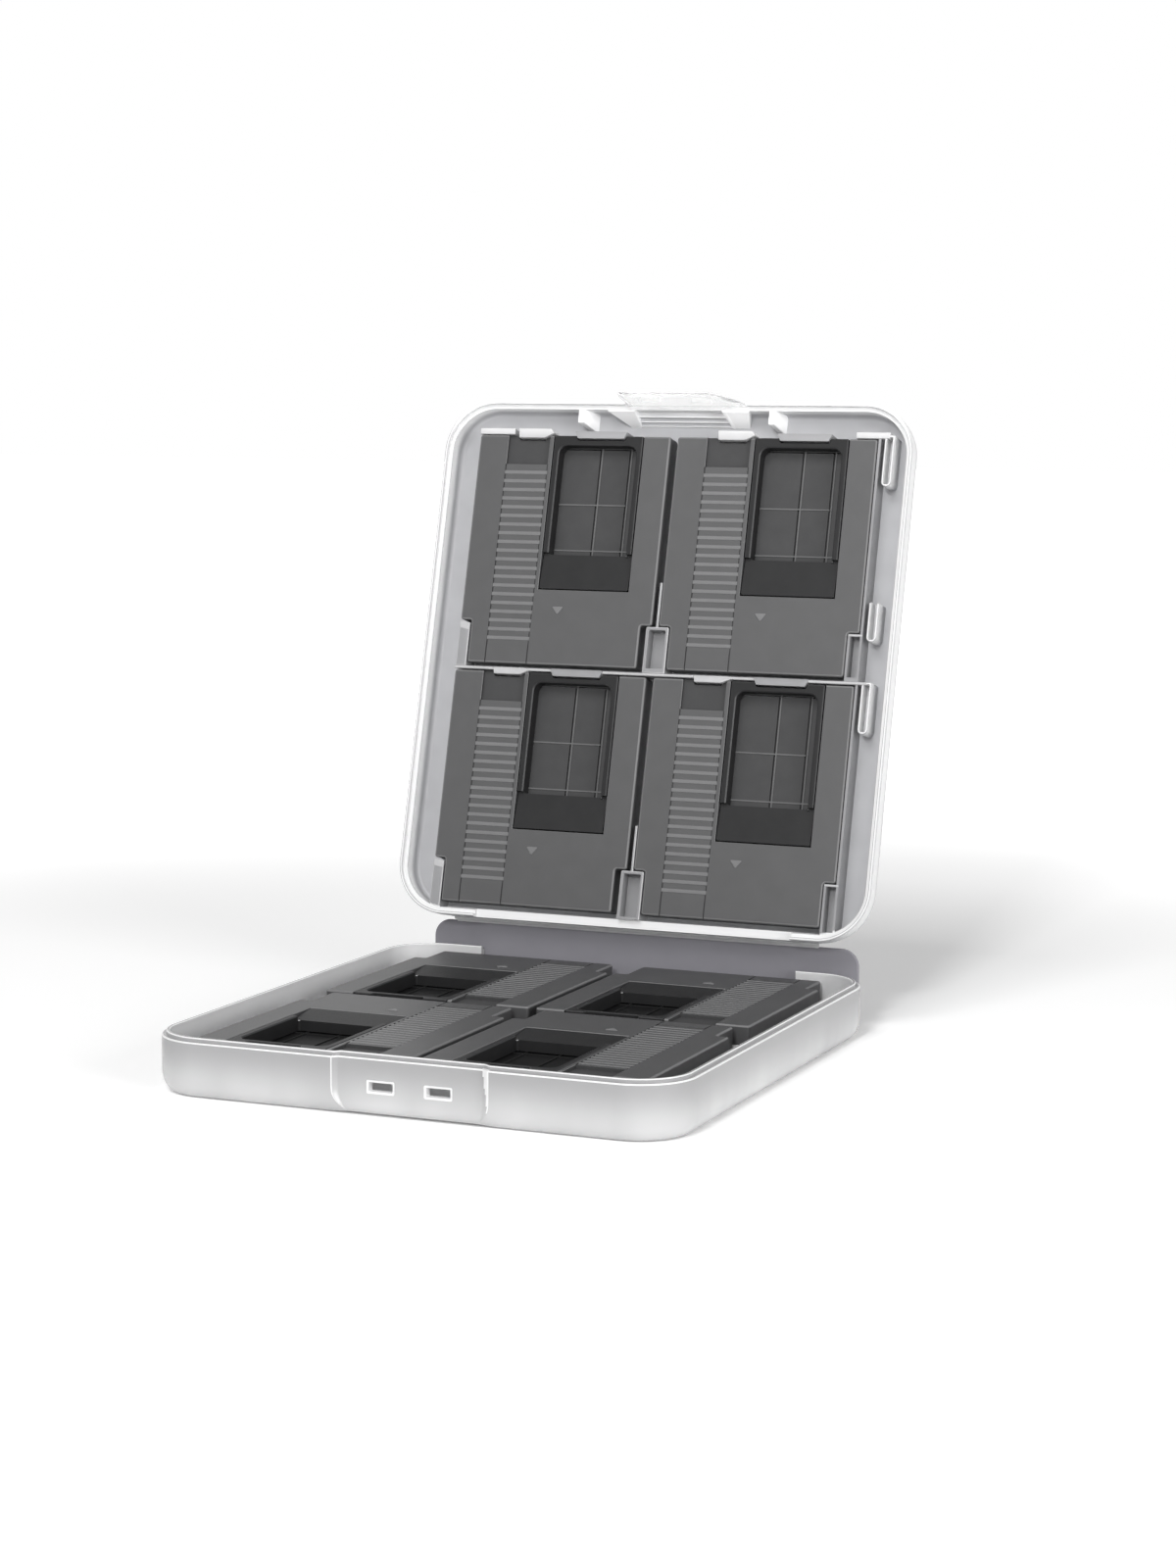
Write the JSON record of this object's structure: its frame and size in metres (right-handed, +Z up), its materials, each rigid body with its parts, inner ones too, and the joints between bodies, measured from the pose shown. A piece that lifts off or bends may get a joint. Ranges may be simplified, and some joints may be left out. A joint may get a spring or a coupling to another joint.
{
  "type": "game card case",
  "caption": "Folding clear plastic case, stored open: a shallow base, a leaning lid and a folding spine, with lift-out grey card holders in both halves and a snap latch.",
  "frame": {"origin": "centre of the base's underside, on the table", "axes": "+X to the right seen from the latch side, +Y from the latch towards the hinge, +Z up"},
  "size_m": [0.144, 0.1906, 0.1757],
  "materials": {
    "frosted_plastic": "clear polypropylene with a fine frosted grain",
    "spine_plastic": "plain grey with a faint violet cast",
    "grey_plastic": "satin mid grey",
    "dark_plastic": "satin near black"
  },
  "bodies": {
    "base": {"base_shell": "frosted_plastic"},
    "spine": {"spine_panel": "spine_plastic", "lower_hinge_web": "frosted_plastic", "upper_hinge_web": "frosted_plastic"},
    "lid": {"lid_shell": "frosted_plastic"},
    "latch": {"latch_tongue": "frosted_plastic"},
    "base_rear_left_holder": {"base_rear_left_holder_shell": "grey_plastic", "base_rear_left_card_frame": "dark_plastic", "base_rear_left_holder_back": "grey_plastic"},
    "base_rear_right_holder": {"base_rear_right_holder_shell": "grey_plastic", "base_rear_right_card_frame": "dark_plastic", "base_rear_right_holder_back": "grey_plastic"},
    "base_front_left_holder": {"base_front_left_holder_shell": "grey_plastic", "base_front_left_card_frame": "dark_plastic", "base_front_left_holder_back": "grey_plastic"},
    "base_front_right_holder": {"base_front_right_holder_shell": "grey_plastic", "base_front_right_card_frame": "dark_plastic", "base_front_right_holder_back": "grey_plastic"},
    "lid_lower_left_holder": {"lid_lower_left_holder_shell": "grey_plastic", "lid_lower_left_card_frame": "dark_plastic", "lid_lower_left_holder_back": "grey_plastic"},
    "lid_lower_right_holder": {"lid_lower_right_holder_shell": "grey_plastic", "lid_lower_right_card_frame": "dark_plastic", "lid_lower_right_holder_back": "grey_plastic"},
    "lid_upper_left_holder": {"lid_upper_left_holder_shell": "grey_plastic", "lid_upper_left_card_frame": "dark_plastic", "lid_upper_left_holder_back": "grey_plastic"},
    "lid_upper_right_holder": {"lid_upper_right_holder_shell": "grey_plastic", "lid_upper_right_card_frame": "dark_plastic", "lid_upper_right_holder_back": "grey_plastic"}
  },
  "joints": [
    {"name": "base_hinge", "type": "hinge", "parent": "base", "child": "spine", "pos_m": [0, 0.0763, 0.0015], "axis": [-1, 0, 0], "range_deg": [0, 77]},
    {"name": "lid_hinge", "type": "hinge", "parent": "spine", "child": "lid", "pos_m": [0, 0.0763, 0.023], "axis": [-1, 0, 0], "range_deg": [-104.72, 0]},
    {"name": "latch_flex", "type": "hinge", "parent": "lid", "child": "latch", "pos_m": [0.0025, 0.11135, 0.17136], "axis": [-1, 0, 0], "range_deg": [0, 8], "stiffness_Nm_per_rad": 0.02},
    {"name": "base_rear_left_lift", "type": "slide", "parent": "base", "child": "base_rear_left_holder", "axis": [0, 0, 1], "range_m": [0, 0.009]},
    {"name": "base_rear_right_lift", "type": "slide", "parent": "base", "child": "base_rear_right_holder", "axis": [0, 0, 1], "range_m": [0, 0.009]},
    {"name": "base_front_left_lift", "type": "slide", "parent": "base", "child": "base_front_left_holder", "axis": [0, 0, 1], "range_m": [0, 0.009]},
    {"name": "base_front_right_lift", "type": "slide", "parent": "base", "child": "base_front_right_holder", "axis": [0, 0, 1], "range_m": [0, 0.009]},
    {"name": "lid_lower_left_lift", "type": "slide", "parent": "lid", "child": "lid_lower_left_holder", "axis": [0, -0.9672, 0.2541], "range_m": [0, 0.009]},
    {"name": "lid_lower_right_lift", "type": "slide", "parent": "lid", "child": "lid_lower_right_holder", "axis": [0, -0.9672, 0.2541], "range_m": [0, 0.009]},
    {"name": "lid_upper_left_lift", "type": "slide", "parent": "lid", "child": "lid_upper_left_holder", "axis": [0, -0.9672, 0.2541], "range_m": [0, 0.009]},
    {"name": "lid_upper_right_lift", "type": "slide", "parent": "lid", "child": "lid_upper_right_holder", "axis": [0, -0.9672, 0.2541], "range_m": [0, 0.009]}
  ]
}
